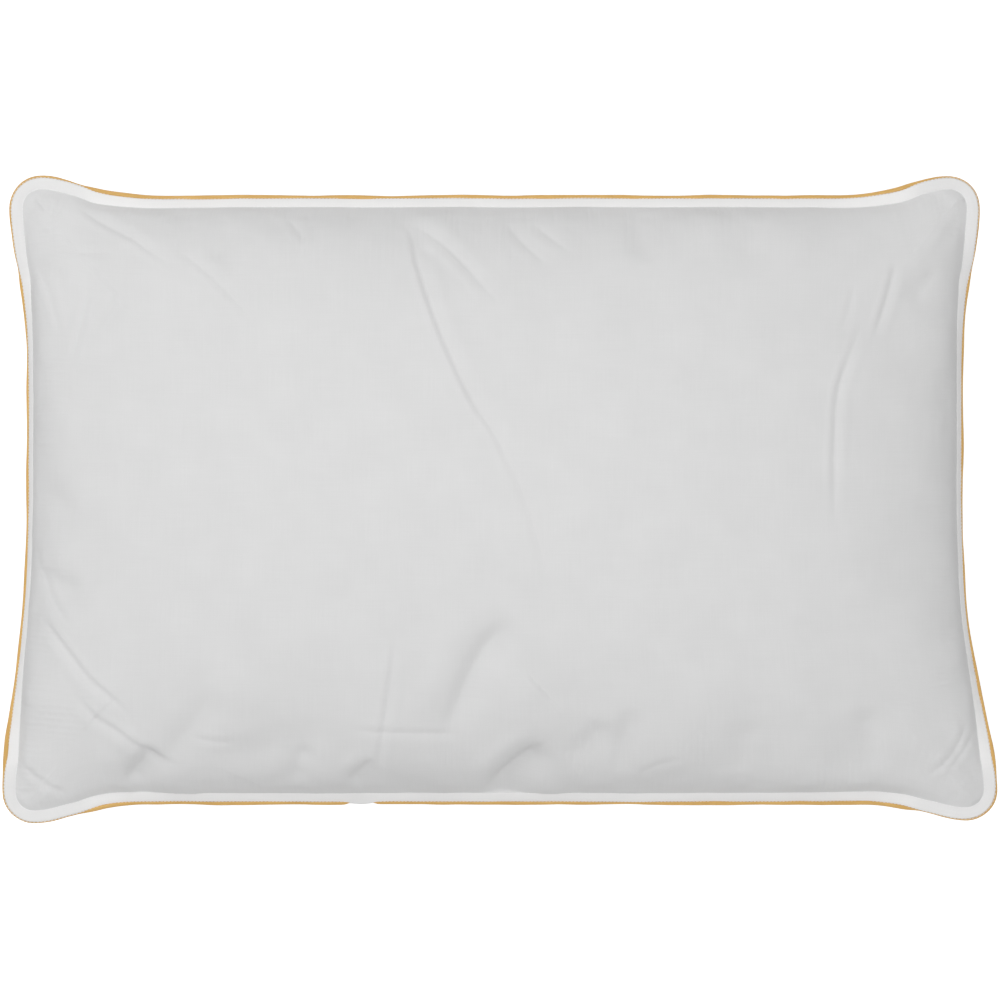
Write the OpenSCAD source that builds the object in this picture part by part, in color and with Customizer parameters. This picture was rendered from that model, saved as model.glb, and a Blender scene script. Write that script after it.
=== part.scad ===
// Bed pillow lying on its back panel, in millimetres.
// Two ticking panels meet in a top-stitched flange with a thin piping at its edge, and hold a loose filling.
// X runs along the long edges, Y along the short ones, and Z is up from the surface that the pillow lies on.

/* [Pillow] */
// Width across the two lower corners, outside the piping
lower_corner_w = 749; // [620:1:900]
// How much narrower the pillow is across its two upper corners
upper_corner_less = 18; // [0:1:40]
// Depth across the corners, outside the piping
corner_d = 489; // [400:1:590]
// How far the middle of a short edge is drawn in from the lower corners
short_edge_draw = 22; // [10:1:35]
// How far the middle of a long edge is drawn in from the corners
long_edge_draw = 15; // [5:1:25]
// Height of the plumped pillow
loft = 156; // [120:1:200]
// Height of the side seam above the surface, at the middle of an edge
seam_height = 69; // [50:1:90]
// How far the corners hang below the rest of the seam
corner_droop = 9; // [0:1:20]

/* [Outline] */
// Radius of a corner, outside the piping
corner_r = 24; // [18:1:40]
// Reach of a corner's ear along the long edges
long_ear = 41; // [30:1:80]
// Reach of the upper corners' ears along the short edges
upper_ear = 62; // [40:1:110]
// Reach of the lower corners' ears along the short edges
lower_ear = 100; // [50:1:140]

/* [Filling] */
// Depth that the lower face would bulge below the seam if nothing lay under it
free_bulge = 86; // [80:1:110]
// Height over which the lower face curves up from the surface
rest_ease = 6; // [2:1:12]
// Gap between the filling and the ticking
filling_gap = 0.3; // [0.1:0.1:1]

/* [Ticking and flange] */
// Thickness of the ticking
ticking_t = 0.4; // [0.2:0.1:0.8]
// Width of the flange, from the join seam to the top stitching
flange_w = 9; // [6:0.5:14]
// How far the seam allowances inside the flange reach past the top stitching
allowance_past = 1.5; // [0.5:0.5:4]
// Angle at which the flange hangs along the long edges
long_tilt = 38; // [0:1:60]
// Angle at which the flange hangs along the short edges
short_tilt = 62; // [0:1:70]
// Distance from a corner over which the flange turns down
tilt_run = 60; // [30:1:120]

/* [Piping] */
// Outside diameter of the piping
piping_d = 4; // [2.4:0.1:5]
// Thickness of the satin strip that covers the cord
satin_t = 0.25; // [0.15:0.05:0.4]
// Gap between the cord and the satin
cord_gap = 0.15; // [0.1:0.05:0.3]
// Gap between layers that lie on each other
layer_gap = 0.05; // [0.02:0.01:0.1]
// Place of the lap where the piping's two ends meet, along the lower edge
lap_x = -103; // [-200:1:200]
// Length of the edge that the lap leaves without piping
lap_gap = 16; // [6:1:30]

/* [Stitching] */
// Diameter of the sewing thread
thread_d = 0.3; // [0.2:0.05:0.5]
// Length of the filling opening in the right-hand edge, closed by its own row
closing_len = 200; // [120:1:260]
// Distance of the closing row from the join seam
closing_inset = 2.5; // [1.5:0.5:5]
// Distance of the top stitching from the foot of the padded face
stitch_out = 0.5; // [0.3:0.1:1]

/* [Care label] */
// Width of the blank label, along the lower edge
label_w = 30; // [20:1:50]
// Thickness of the folded label
label_t = 0.5; // [0.3:0.1:0.8]
// Distance of the label's sewn edge from the join seam
label_inset = 1; // [0.5:0.5:3]
// Gap between the label and the back panel
label_gap = 1.6; // [1:0.1:3]
// Place of the label's middle along the lower edge
label_x = 150; // [-250:1:250]
// Share of the panel, from its centre to its stitching, where the label ends
label_reach = 0.88; // [0.8:0.01:0.94]

/* [Hidden] */

upper_corner_w = lower_corner_w - upper_corner_less;
waist_w = lower_corner_w - 2 * short_edge_draw;
waist_d = corner_d - 2 * long_edge_draw;
half_w = (lower_corner_w + upper_corner_w) / 4;
half_d = corner_d / 2;
straight_w = half_w - corner_r;
straight_d = half_d - corner_r;
top_bulge = loft - seam_height;
wrap_steps = 4;
cord_r = (piping_d / 2 - satin_t) * cos(90 / wrap_steps) - cord_gap;

// Heights above the flange's middle layer
tape_top = layer_gap / 2 + satin_t;
panel_inside = tape_top + layer_gap;
panel_outside = panel_inside + 2 * ticking_t;
panel_middle = (panel_inside + panel_outside) / 2;
thread_line = panel_outside + layer_gap + thread_d / 2;
tail_out = -allowance_past;
edge_out = flange_w - 0.3;
piping_centre = flange_w + piping_d / 2;
gutter = flange_w + layer_gap + thread_d / 2;
gutter_line = panel_outside + thread_d / 4;

corner_steps = 7;
long_steps = 19;
lower_left_steps = 9;
lower_right_steps = 12;
short_steps = 13;
closing_end_steps = 6;
closing_steps = 5;
dome_rings = [for (r = [0.12, 0.26, 0.4, 0.54, 0.67, 0.79, 0.88, 0.94, 0.975]) r];
slope_factor = 1.2; // vertical thickness of the sloping ticking, as a multiple of its thickness

// ---- The outline. A base point is [x, y] on a plain rounded rectangle, and soften() gives it the ears. ----

function fade(distance, reach) = exp(-pow(distance / reach, 2));
function edge_half_w(y) = waist_w / 2
    + (upper_corner_w - waist_w) / 2 * fade(max(0, straight_d - y), upper_ear)
    + (lower_corner_w - waist_w) / 2 * fade(max(0, straight_d + y), lower_ear);
function edge_half_d(x) = waist_d / 2
    + (corner_d - waist_d) / 2 * fade(max(0, straight_w - abs(x)), long_ear);
function soften(p) = [p.x / half_w * edge_half_w(p.y), p.y / half_d * edge_half_d(p.x)];

// Steps along a straight edge, closer together towards its ends
function eased(n) = [for (i = [1 : n - 1]) -cos(180 * i / n)];

// Base points and their tangents, anticlockwise
function arc_of(cx, cy, from) = [
    for (i = [0 : corner_steps]) let (a = from + 90 * i / corner_steps)
        [cx + corner_r * cos(a), cy + corner_r * sin(a), -sin(a), cos(a)]
];
function right_run(from, to, n) = [for (e = eased(n)) [half_w, (from + to) / 2 + (to - from) / 2 * e, 0, 1]];
function left_run(from, to, n) = [for (e = eased(n)) [-half_w, (from + to) / 2 + (to - from) / 2 * e, 0, -1]];
function upper_run(from, to, n) = [for (e = eased(n)) [(from + to) / 2 + (to - from) / 2 * e, half_d, -1, 0]];
function lower_run(from, to, n) = [for (e = eased(n)) [(from + to) / 2 + (to - from) / 2 * e, -half_d, 1, 0]];

lap_from = lap_x - lap_gap / 2;
lap_to = lap_x + lap_gap / 2;
edge_points = concat(
    [[lap_to, -half_d, 1, 0]],
    lower_run(lap_to, straight_w, lower_right_steps),
    arc_of(straight_w, -straight_d, -90),
    right_run(-straight_d, -closing_len / 2, closing_end_steps),
    [[half_w, -closing_len / 2, 0, 1]],
    right_run(-closing_len / 2, closing_len / 2, closing_steps),
    [[half_w, closing_len / 2, 0, 1]],
    right_run(closing_len / 2, straight_d, closing_end_steps),
    arc_of(straight_w, straight_d, 0),
    upper_run(straight_w, -straight_w, long_steps),
    arc_of(-straight_w, straight_d, 90),
    left_run(straight_d, -straight_d, short_steps),
    arc_of(-straight_w, -straight_d, 180),
    lower_run(-straight_w, lap_from, lower_left_steps),
    [[lap_from, -half_d, 1, 0]]
);
closing_first = lower_right_steps + corner_steps + closing_end_steps;
label_run = [for (i = [0 : 4]) [label_x + label_w * (i / 4 - 0.5), -half_d, 1, 0]];

// ---- The seam. Each base point has a station, the frame in which the flange's layers are drawn. ----

probe = 0.01;
function outward(b) =
    let (p = [b[0], b[1]], t = [b[2], b[3]])
    let (along = soften(p + probe * t) - soften(p - probe * t))
    [along.y, -along.x] / norm(along);
function hang(b) =
    long_tilt * (1 - fade(max(0, straight_w - abs(b[0])), tilt_run))
    + short_tilt * (1 - fade(max(0, straight_d - abs(b[1])), tilt_run));
function seam_z(u, v) = seam_height - corner_droop * pow(abs(u * v), 4);

// [stitch point in plan, u, v, outward direction along the flange, direction off its front]
function station(b) =
    let (n = outward(b), tilt = hang(b))
    let (inset = piping_centre * cos(tilt) + piping_d / 2)
    [
        soften([b[0], b[1]]) - inset * n,
        b[0] / half_w, b[1] / half_d,
        [n.x * cos(tilt), n.y * cos(tilt), -sin(tilt)],
        [n.x * sin(tilt), n.y * sin(tilt), cos(tilt)]
    ];
function on_flange(s, out, up) = [s[0].x, s[0].y, seam_z(s[1], s[2])] + out * s[3] + up * s[4];

stations = [for (b = edge_points) station(b)];
closing_stations = [for (i = [0 : closing_steps]) stations[closing_first + i]];
label_stations = [for (b = label_run) station(b)];

// ---- The two faces. reach is 1 at the top stitching and 0 at the centre, and p is [x, y]. ----

short_inset = piping_centre * cos(short_tilt) + piping_d / 2;
long_inset = piping_centre * cos(long_tilt) + piping_d / 2;
function across(p) = min(1, abs(p.x) / (edge_half_w(p.y) - short_inset));
function down(p) = min(1, abs(p.y) / (edge_half_d(p.x) - long_inset));
function crown(u, v) = pow(1 - pow(u, 3.5), 0.62) * pow(1 - pow(v, 2.3), 0.75);
function front_z(p) = let (u = across(p), v = down(p))
    seam_z(u, v) + panel_outside + (top_bulge - panel_outside) * crown(u, v);
function settled(z) = z > rest_ease ? z : (z > -rest_ease ? pow(z + rest_ease, 2) / (4 * rest_ease) : 0);
function back_z(p) = let (u = across(p), v = down(p))
    settled(seam_z(u, v) - panel_outside - (free_bulge - panel_outside) * crown(u, v));

// Rings take the outline's shape at the stitching and an oval's near the centre
function oval(s) = [
    waist_w / 2 * s[1] * sqrt(1 - s[2] * s[2] / 2),
    waist_d / 2 * s[2] * sqrt(1 - s[1] * s[1] / 2)
];
function ring_point(s, reach) = let (share = pow(reach, 3))
    reach * (share * s[0] + (1 - share) * oval(s));
function front_point(s, reach, sunk) = let (p = ring_point(s, reach)) [p.x, p.y, front_z(p) - sunk];
function back_point(s, reach, sunk) = let (p = ring_point(s, reach)) [p.x, p.y, back_z(p) + sunk];

skin_z = ticking_t * slope_factor;
filling_sunk = skin_z + filling_gap * slope_factor;

// ---- Solids made of rings of points ----

function reversed(list) = [for (i = [len(list) - 1 : -1 : 0]) list[i]];
function joined(rings) = [for (r = rings) each r];

// Every quad is split from its inner corner to its next outer one, so that layers stay parallel in a twist.
// Rings from turn on lead back inwards, and so do the columns that are marked.
function wall(count, n, loops, turn, inward) = [
    for (i = [0 : count - (loops ? 1 : 2)], j = [0 : n - 1])
        let (a = i * n + j, b = i * n + (j + 1) % n)
        let (d = ((i + 1) % count) * n + j, c = ((i + 1) % count) * n + (j + 1) % n)
        each (i >= turn || inward[j] == true) ? [[a, d, b], [b, d, c]] : [[a, c, b], [a, d, c]]
];
function inward_columns(section) = [
    for (j = [0 : len(section) - 1]) section[(j + 1) % len(section)][0] < section[j][0]
];
function fan(first, n, centre, turned) = [
    for (j = [0 : n - 1]) let (a = first + j, b = first + (j + 1) % n)
        turned ? [b, a, centre] : [a, b, centre]
];

// An upper layer of rings, from its centre outwards, and a lower one, from its edge back to its centre
module pouch(upper, lower, upper_centre, lower_centre) {
    rings = concat(upper, lower);
    n = len(rings[0]);
    k = len(rings);
    points = concat(joined(rings), [upper_centre, lower_centre]);
    walls = wall(k, n, false, len(upper), []);
    ends = concat(fan(0, n, k * n, false), fan((k - 1) * n, n, k * n + 1, true));
    polyhedron(points, concat(walls, ends), convexity = 6);
}

// A section, as [out, up] points on the flange, carried round a closed edge
module hoop(section) {
    rings = [for (s = stations) [for (p = section) on_flange(s, p[0], p[1])]];
    faces = wall(len(rings), len(section), true, len(rings), inward_columns(section));
    polyhedron(joined(rings), faces, convexity = 6);
}

// The same along an open edge. The section's points run out along one side and back along the other.
module run(stretch, section) {
    rings = [for (s = stretch) [for (p = section) on_flange(s, p[0], p[1])]];
    strip(rings, inward_columns(section));
}

// Rings with an even count of points, whose flat ends are filled from one side to the other
module strip(rings, inward) {
    n = len(rings[0]);
    last = (len(rings) - 1) * n;
    ends = [
        for (j = [0 : n / 2 - 2]) each [
            [j, j + 1, n - 2 - j], [j, n - 2 - j, n - 1 - j],
            [last + j, last + n - 2 - j, last + j + 1], [last + j, last + n - 1 - j, last + n - 2 - j]
        ]
    ];
    polyhedron(joined(rings), concat(wall(len(rings), n, false, len(rings), inward), ends), convexity = 6);
}

function thread_section(out, up) = [for (i = [0 : 3]) [out, up] + thread_d / 2 * [cos(90 * i), sin(90 * i)]];

// The satin strip: out along the front layer, round the cord and back, then the same again on its inside
function wrap(radius, layer) =
    let (leave = asin(layer / radius))
    [for (i = [0 : wrap_steps]) let (a = (180 - leave) * (1 - i / wrap_steps))
        [piping_centre + radius * cos(a), radius * sin(a)]];
function mirrored(points) = [for (p = reversed(points)) if (p[1] > 0.0001) [p[0], -p[1]]];
function folded_strip(radius, layer) =
    let (front = concat([[tail_out, layer], [0, layer], [edge_out, layer]], wrap(radius, layer)))
    concat(front, mirrored(front));
piping_section = concat(
    folded_strip(piping_d / 2, tape_top),
    reversed(folded_strip(piping_d / 2 - satin_t, layer_gap / 2))
);

// ---- The parts ----

function face_rings(sunk, front) = [
    for (r = dome_rings) [for (s = stations) front ? front_point(s, r, sunk) : back_point(s, r, sunk)]
];
function flange_rings(section) = [for (p = section) [for (s = stations) on_flange(s, p[0], p[1])]];

// Ticking panel of the upper face, with its seam allowance turned in inside the flange
module front_panel() {
    outside = concat(
        [for (out = [0, stitch_out, edge_out]) [out, panel_outside]],
        [[flange_w, panel_middle]]
    );
    inside = [for (out = [edge_out, 0, tail_out]) [out, panel_inside]];
    color("#dddddf") pouch(
        concat(face_rings(0, true), flange_rings(outside)),
        concat(flange_rings(inside), reversed(face_rings(skin_z, true))),
        [0, 0, loft], [0, 0, loft - skin_z]
    );
}

// Ticking panel of the lower face, flat where it lies on the surface
module back_panel() {
    inside = concat(
        [for (out = [tail_out, 0, edge_out]) [out, -panel_inside]],
        [[flange_w, -panel_middle]]
    );
    outside = [for (out = [edge_out, stitch_out, 0]) [out, -panel_outside]];
    color("#d6d6d9") pouch(
        concat(face_rings(skin_z, false), flange_rings(inside)),
        concat(flange_rings(outside), reversed(face_rings(0, false))),
        [0, 0, skin_z], [0, 0, 0]
    );
}

// Down and small feathers, as the one mass that fills the casing
module down_filling() {
    color("#f1efe8") pouch(
        face_rings(filling_sunk, true), reversed(face_rings(filling_sunk, false)),
        [0, 0, loft - filling_sunk], [0, 0, filling_sunk]
    );
}

// Satin strip folded round the cord, its two raw edges sewn in between the panels
module piping_cover() {
    color("#cfa45c") run(stations, piping_section);
}

// Cotton cord inside the piping
module piping_cord() {
    section = [for (i = [0 : 5]) [piping_centre, 0] + cord_r * [cos(60 * i + 30), sin(60 * i + 30)]];
    color("#ece6d6") run(stations, section);
}

module topstitch_needle_thread() {
    color("white") hoop(thread_section(stitch_out, thread_line));
}

module topstitch_bobbin_thread() {
    color("white") hoop(thread_section(stitch_out, -thread_line));
}

// The seam that joins the panels lies in the gutter between the flange and the piping
module join_needle_thread() {
    color("white") hoop(thread_section(gutter, gutter_line));
}

module join_bobbin_thread() {
    color("white") hoop(thread_section(gutter, -gutter_line));
}

// The row that closes the filling opening after the pillow is filled
module closing_needle_thread() {
    color("white") run(closing_stations, thread_section(flange_w - closing_inset, thread_line));
}

module closing_bobbin_thread() {
    color("white") run(closing_stations, thread_section(flange_w - closing_inset, -thread_line));
}

label_rows = [0.975, 0.94, label_reach];
function under_point(s, reach, drop) = let (p = [s[0].x, reach * s[0].y]) [p.x, p.y, back_z(p) - drop];

// Blank folded label caught in the join seam, lying on the back of the flange and the back panel
module care_label() {
    near = panel_outside + thread_d + 2 * layer_gap;
    far = near + label_t;
    fold = label_gap / 2;
    rings = [
        for (s = label_stations) concat(
            [on_flange(s, flange_w - label_inset, -near), on_flange(s, fold, -near)],
            [for (r = label_rows) under_point(s, r, label_gap)],
            [for (r = reversed(label_rows)) under_point(s, r, label_gap + 2 * label_t)],
            [on_flange(s, fold + label_t, -far), on_flange(s, flange_w - label_inset, -far)]
        )
    ];
    color("#f6f5f1") strip(rings, []);
}

front_panel();
back_panel();
down_filling();
piping_cover();
piping_cord();
topstitch_needle_thread();
topstitch_bobbin_thread();
join_needle_thread();
join_bobbin_thread();
closing_needle_thread();
closing_bobbin_thread();
care_label();
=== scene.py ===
"""Looks of a plump bed pillow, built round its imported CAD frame."""

import math

import bmesh
import bpy
import numpy as np
from mathutils import Matrix, Vector, noise


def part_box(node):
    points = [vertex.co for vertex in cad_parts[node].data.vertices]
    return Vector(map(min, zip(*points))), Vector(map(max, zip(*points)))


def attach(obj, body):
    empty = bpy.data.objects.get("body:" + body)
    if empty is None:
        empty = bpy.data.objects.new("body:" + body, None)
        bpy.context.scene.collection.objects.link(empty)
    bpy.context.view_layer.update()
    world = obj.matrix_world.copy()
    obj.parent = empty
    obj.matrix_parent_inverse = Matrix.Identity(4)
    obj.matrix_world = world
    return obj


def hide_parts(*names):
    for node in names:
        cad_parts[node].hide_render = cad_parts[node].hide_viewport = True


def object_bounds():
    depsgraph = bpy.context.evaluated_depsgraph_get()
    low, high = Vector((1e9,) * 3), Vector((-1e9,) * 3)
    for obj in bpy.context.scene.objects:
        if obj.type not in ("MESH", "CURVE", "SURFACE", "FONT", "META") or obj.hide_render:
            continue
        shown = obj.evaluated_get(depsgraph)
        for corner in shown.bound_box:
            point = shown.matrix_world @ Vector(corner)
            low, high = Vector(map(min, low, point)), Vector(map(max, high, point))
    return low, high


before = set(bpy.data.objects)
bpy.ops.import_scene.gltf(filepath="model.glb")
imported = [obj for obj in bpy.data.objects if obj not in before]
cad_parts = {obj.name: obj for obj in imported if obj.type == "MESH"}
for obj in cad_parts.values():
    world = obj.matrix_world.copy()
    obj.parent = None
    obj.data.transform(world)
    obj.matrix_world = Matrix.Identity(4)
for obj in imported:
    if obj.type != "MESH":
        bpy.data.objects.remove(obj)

cad_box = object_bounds()
scene = bpy.context.scene
MM = 0.001

# ---- Viewpoint ----
# The pillow lies flat and is looked at from straight above, through a long lens.
# The lens takes in the pillow's whole length at the height of its side seam.
CAMERA_HEIGHT = 3.0
VIEW_MARGIN = 0.7 * MM
SENSOR_WIDTH = 36.0


def put(name, data):
    """Adds an object that shows the given mesh, lamp or camera to the scene."""
    thing = bpy.data.objects.new(name, data)
    scene.collection.objects.link(thing)
    return thing


seam_low, seam_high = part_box("join_needle_thread")
camera_data = bpy.data.cameras.new("overhead")
camera_data.sensor_width = SENSOR_WIDTH
view_width = cad_box[1][0] - cad_box[0][0] + 2 * VIEW_MARGIN
camera_data.lens = SENSOR_WIDTH * (CAMERA_HEIGHT - seam_high.z) / view_width
camera_data.clip_end = 50.0
camera = put("overhead", camera_data)
camera.location = (0.0, 0.0, CAMERA_HEIGHT)
scene.camera = camera

# ---- Seam line ----
# The tick is one closed seam: panels and piping are joined in it, turned, and top-stitched about 9 mm in.
# Its course is that of the two CAD stitching rows, each the middle between its needle and bobbin thread.
# The stitch line lies STITCH_OUT outside the foot, where the padded face begins.
STITCH_OUT = 0.5 * MM
FLANGE_WIDTH = 9.0 * MM
PIPING_RADIUS = 2.0 * MM
LAP_X = -103 * MM
CORNER_LEAN = -3.8 * MM
LEAN_FROM, LEAN_RUN = -0.235, 0.16
CORNER_LIFT = 3.0 * MM
EAR_X, EAR_RUN_X = 0.303, 0.017
UPPER_EAR_Y, LOWER_EAR_Y, EAR_RUN_Y = 0.160, 0.190, 0.020


def thread_middles(node):
    """The CAD thread's ring, as one point per station, anticlockwise from the piping's lap."""
    co = np.unique(np.round([v.co[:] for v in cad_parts[node].data.vertices], 7), axis=0)
    start = math.atan2(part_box(node)[0].y, LAP_X)
    angle = (np.arctan2(co[:, 1], co[:, 0]) - start) % (2 * math.pi)
    order = np.argsort(angle)
    breaks = np.nonzero(np.diff(angle[order]) > 0.0015)[0] + 1
    return np.array([co[group].mean(0) for group in np.split(order, breaks)])


def swell(value, low, high):
    """A smooth rise from 0 at low to 1 at high."""
    t = np.clip((value - low) / (high - low), 0, 1)
    return t * t * (3 - 2 * t)


def leaned(points):
    """The upper part of the pillow sits a little to one side, and one lower corner a little in."""
    x, y = points[:, 0], points[:, 1]
    points[:, 0] = x + CORNER_LEAN * swell(y, LEAN_FROM, LEAN_FROM + LEAN_RUN)
    points[:, 1] = y + CORNER_LIFT * np.exp(-((x - 0.36) / 0.06) ** 2 - ((y + 0.24) / 0.05) ** 2)
    return points


stitch_ring, join_ring = (
    leaned((thread_middles(row + "_needle_thread") + thread_middles(row + "_bobbin_thread")) / 2)
    for row in ("topstitch", "join")
)
spans = np.linalg.norm(np.roll(join_ring, -1, 0) - join_ring, axis=1)
SEAM_LENGTH = float(spans.sum())
knots = np.append(0, np.cumsum(spans)) / SEAM_LENGTH
LAP_AT = -8 * MM / SEAM_LENGTH


def on_loop(ring, at):
    """Points on a smooth curve through a ring, at fractions of the way round, and their change per fraction."""
    at = np.mod(at, 1.0)
    step = np.diff(knots)
    slope = (np.roll(ring, -1, 0) - ring) / step[:, None]
    before = np.roll(step, 1)
    tangent = slope * before[:, None] + np.roll(slope, 1, 0) * step[:, None]
    tangent /= (step + before)[:, None]
    i = np.clip(np.searchsorted(knots, at, side="right") - 1, 0, len(ring) - 1)
    j = (i + 1) % len(ring)
    h, t = step[i][:, None], ((at - knots[i]) / step[i])[:, None]
    a, b, ta, tb = ring[i], ring[j], tangent[i] * h, tangent[j] * h
    point = (2 * t**3 - 3 * t**2 + 1) * a + (t**3 - 2 * t**2 + t) * ta
    point += (3 * t**2 - 2 * t**3) * b + (t**3 - t**2) * tb
    change = (6 * t**2 - 6 * t) * a + (3 * t**2 - 4 * t + 1) * ta
    change += (6 * t - 6 * t**2) * b + (3 * t**2 - 2 * t) * tb
    return point, change / h


def unit(v):
    return v / np.linalg.norm(v, axis=-1, keepdims=True)


def ripple(at, wavelength, seed):
    """Uneven waves of about one wavelength, from -1 to 1, that close up round the seam."""
    radius = SEAM_LENGTH / wavelength / (2 * math.pi)
    turns = 2 * math.pi * np.atleast_1d(at)
    return np.array([
        noise.noise(Vector((radius * math.cos(turn), radius * math.sin(turn), seed))) for turn in turns
    ])


def ear(points):
    """How far a point of the seam is in one of the four corner ears, from 0 to 1."""
    x, y = points[:, 0], points[:, 1]
    start = np.where(y > 0, UPPER_EAR_Y, LOWER_EAR_Y)
    return swell(np.abs(x), EAR_X, EAR_X + EAR_RUN_X) * swell(np.abs(y), start, start + EAR_RUN_Y)


def lapped(at):
    """How near a point of the seam is to the lap where the piping's two ends meet, from 0 to 1."""
    gap = np.mod(at - LAP_AT, 1)
    return 1 - swell(np.minimum(gap, 1 - gap) * SEAM_LENGTH, 4 * MM, 14 * MM)


def seam_frame(at):
    """Foot of the padded face, and the directions out on the flange, up off its front and along the seam."""
    at = np.atleast_1d(np.asarray(at, float))
    foot, along = on_loop(stitch_ring, at)
    edge, _ = on_loop(join_ring, at)
    out, along = unit(edge - foot), unit(along)
    up = unit(np.cross(out, along))
    drift = (ripple(at, 0.055, 51.0) * 0.7 + ripple(at, 0.019, 53.0) * 0.25 + ear(foot) * 1.5) * MM
    return foot + (drift - STITCH_OUT)[:, None] * out, out, up, along


def on_flange(at, out, up):
    """Points at a distance out from the foot and up from the flange's middle layer."""
    foot, outward, upward, _ = seam_frame(at)
    return foot + np.reshape(out, (-1, 1)) * outward + np.reshape(up, (-1, 1)) * upward


round_the_seam = np.linspace(0, 1, 4000, endpoint=False)
seam_points = on_loop(stitch_ring, round_the_seam)[0]
lower_right, upper_right, upper_left, lower_left = (
    round_the_seam[np.argmax(seam_points[:, 0] * sx + seam_points[:, 1] * sy)]
    for sx, sy in ((1, -1), (1, 1), (-1, 1), (-1, -1))
)


def side_at(u, v):
    """Fractions round the seam of the panel's four sides, at shares u across and v up."""
    lower = lower_left - 1 + u * (lower_right - lower_left + 1)
    upper = upper_left + u * (upper_right - upper_left)
    left = lower_left + v * (upper_left - lower_left)
    right = lower_right + v * (upper_right - lower_right)
    return lower, upper, left, right


# ---- Front panel ----
# White downproof cambric, a cotton cloth so closely woven that no feather comes through.
# It is cut flat, 750 by 500 mm over the flange, and the filling pushes it into a crown.
COLUMNS, ROWS = 126, 84
FLAT_WIDTH, FLAT_DEPTH = 732 * MM, 482 * MM
CLOTH_THICKNESS = 0.35 * MM
FRONT_RISE = 88 * MM
FOOT_LIFT = 0.95 * MM
PRESSURE = 4.0
SIMULATED_FRAMES = 22
LAP_COVER = 3.2 * MM
# Share by which the flange's colour is painted darker in the corner ears, as painted shade.
EAR_PAINTED_SHADE = 0.4


def finished_mesh(bm, name, smooth=False):
    """Turns a bmesh into a named mesh, with its faces shaded smooth if asked, and frees it."""
    if smooth:
        for face in bm.faces:
            face.smooth = True
    mesh = bpy.data.meshes.new(name)
    bm.to_mesh(mesh)
    bm.free()
    return mesh


def cut_panel(name, rise):
    """A panel's padded face as a grid, bulged by rise, and the same points as the cloth lies flat."""
    bm = bmesh.new()
    bmesh.ops.create_grid(bm, x_segments=COLUMNS, y_segments=ROWS, size=1.0)
    uv = np.array([v.co[:2] for v in bm.verts])
    flat = np.column_stack([uv * (FLAT_WIDTH / 2, FLAT_DEPTH / 2), np.zeros(len(uv))])
    u, v = (uv[:, 0] + 1) / 2, (uv[:, 1] + 1) / 2
    lift = math.copysign(FOOT_LIFT, rise)
    lower, upper, left, right = (on_flange(at, 0, lift) for at in side_at(u, v))
    corner = [on_flange([at], 0, lift)[0] for at in (lower_left, lower_right, upper_left, upper_right)]
    u, v = u[:, None], v[:, None]
    place = (1 - v) * lower + v * upper + (1 - u) * left + u * right
    place -= (1 - u) * ((1 - v) * corner[0] + v * corner[2]) + u * ((1 - v) * corner[1] + v * corner[3])
    across, along = (np.clip(1 - np.abs(uv[:, k]) ** power, 0, 1) for k, power in ((0, 3), (1, 2.2)))
    place[:, 2] += rise * across ** 0.65 * along ** 0.75
    for vert, co in zip(bm.verts, place):
        vert.co = co
    if rise < 0:
        bmesh.ops.reverse_faces(bm, faces=bm.faces)
    return put(name, finished_mesh(bm, name)), flat


def coordinates(mesh):
    co = np.empty(len(mesh.vertices) * 3, np.float32)
    mesh.vertices.foreach_get("co", co)
    return co.reshape(-1, 3).astype(float)


def set_coordinates(mesh, co):
    mesh.vertices.foreach_set("co", np.asarray(co, np.float32).ravel())
    mesh.update()


def inflate(piece, flat):
    """Sews the cloth down along its edge, pushes it out from inside, and keeps the shape that it takes."""
    piece.shape_key_add(name="sewn")
    key = piece.shape_key_add(name="flat")
    key.data.foreach_set("co", flat.astype(np.float32).ravel())
    grid = np.round(flat / (FLAT_WIDTH / 2, FLAT_DEPTH / 2, 1), 4)
    edge = np.nonzero(np.max(np.abs(grid[:, :2]), axis=1) > 0.9999)[0]
    sewn = piece.vertex_groups.new(name="sewn_edge")
    sewn.add([int(i) for i in edge], 1.0, "REPLACE")
    cloth = piece.modifiers.new("Cloth", "CLOTH")
    settings = cloth.settings
    settings.quality = 7
    settings.mass = 0.006
    settings.air_damping = 2.0
    settings.tension_stiffness = settings.compression_stiffness = 15.0
    settings.shear_stiffness = 3.0
    settings.bending_stiffness = 0.1
    settings.tension_damping = settings.compression_damping = 25.0
    settings.use_pressure = True
    settings.uniform_pressure_force = PRESSURE
    settings.vertex_group_mass = "sewn_edge"
    settings.rest_shape_key = key
    settings.effector_weights.gravity = 0.0
    cloth.point_cache.frame_start = 1
    cloth.point_cache.frame_end = SIMULATED_FRAMES
    for number in range(1, SIMULATED_FRAMES + 1):
        scene.frame_set(number)
    evaluated = piece.evaluated_get(bpy.context.evaluated_depsgraph_get())
    shaped = coordinates(evaluated.data)
    piece.modifiers.remove(cloth)
    piece.shape_key_clear()
    piece.vertex_groups.clear()
    scene.frame_set(1)
    set_coordinates(piece.data, shaped)


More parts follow.
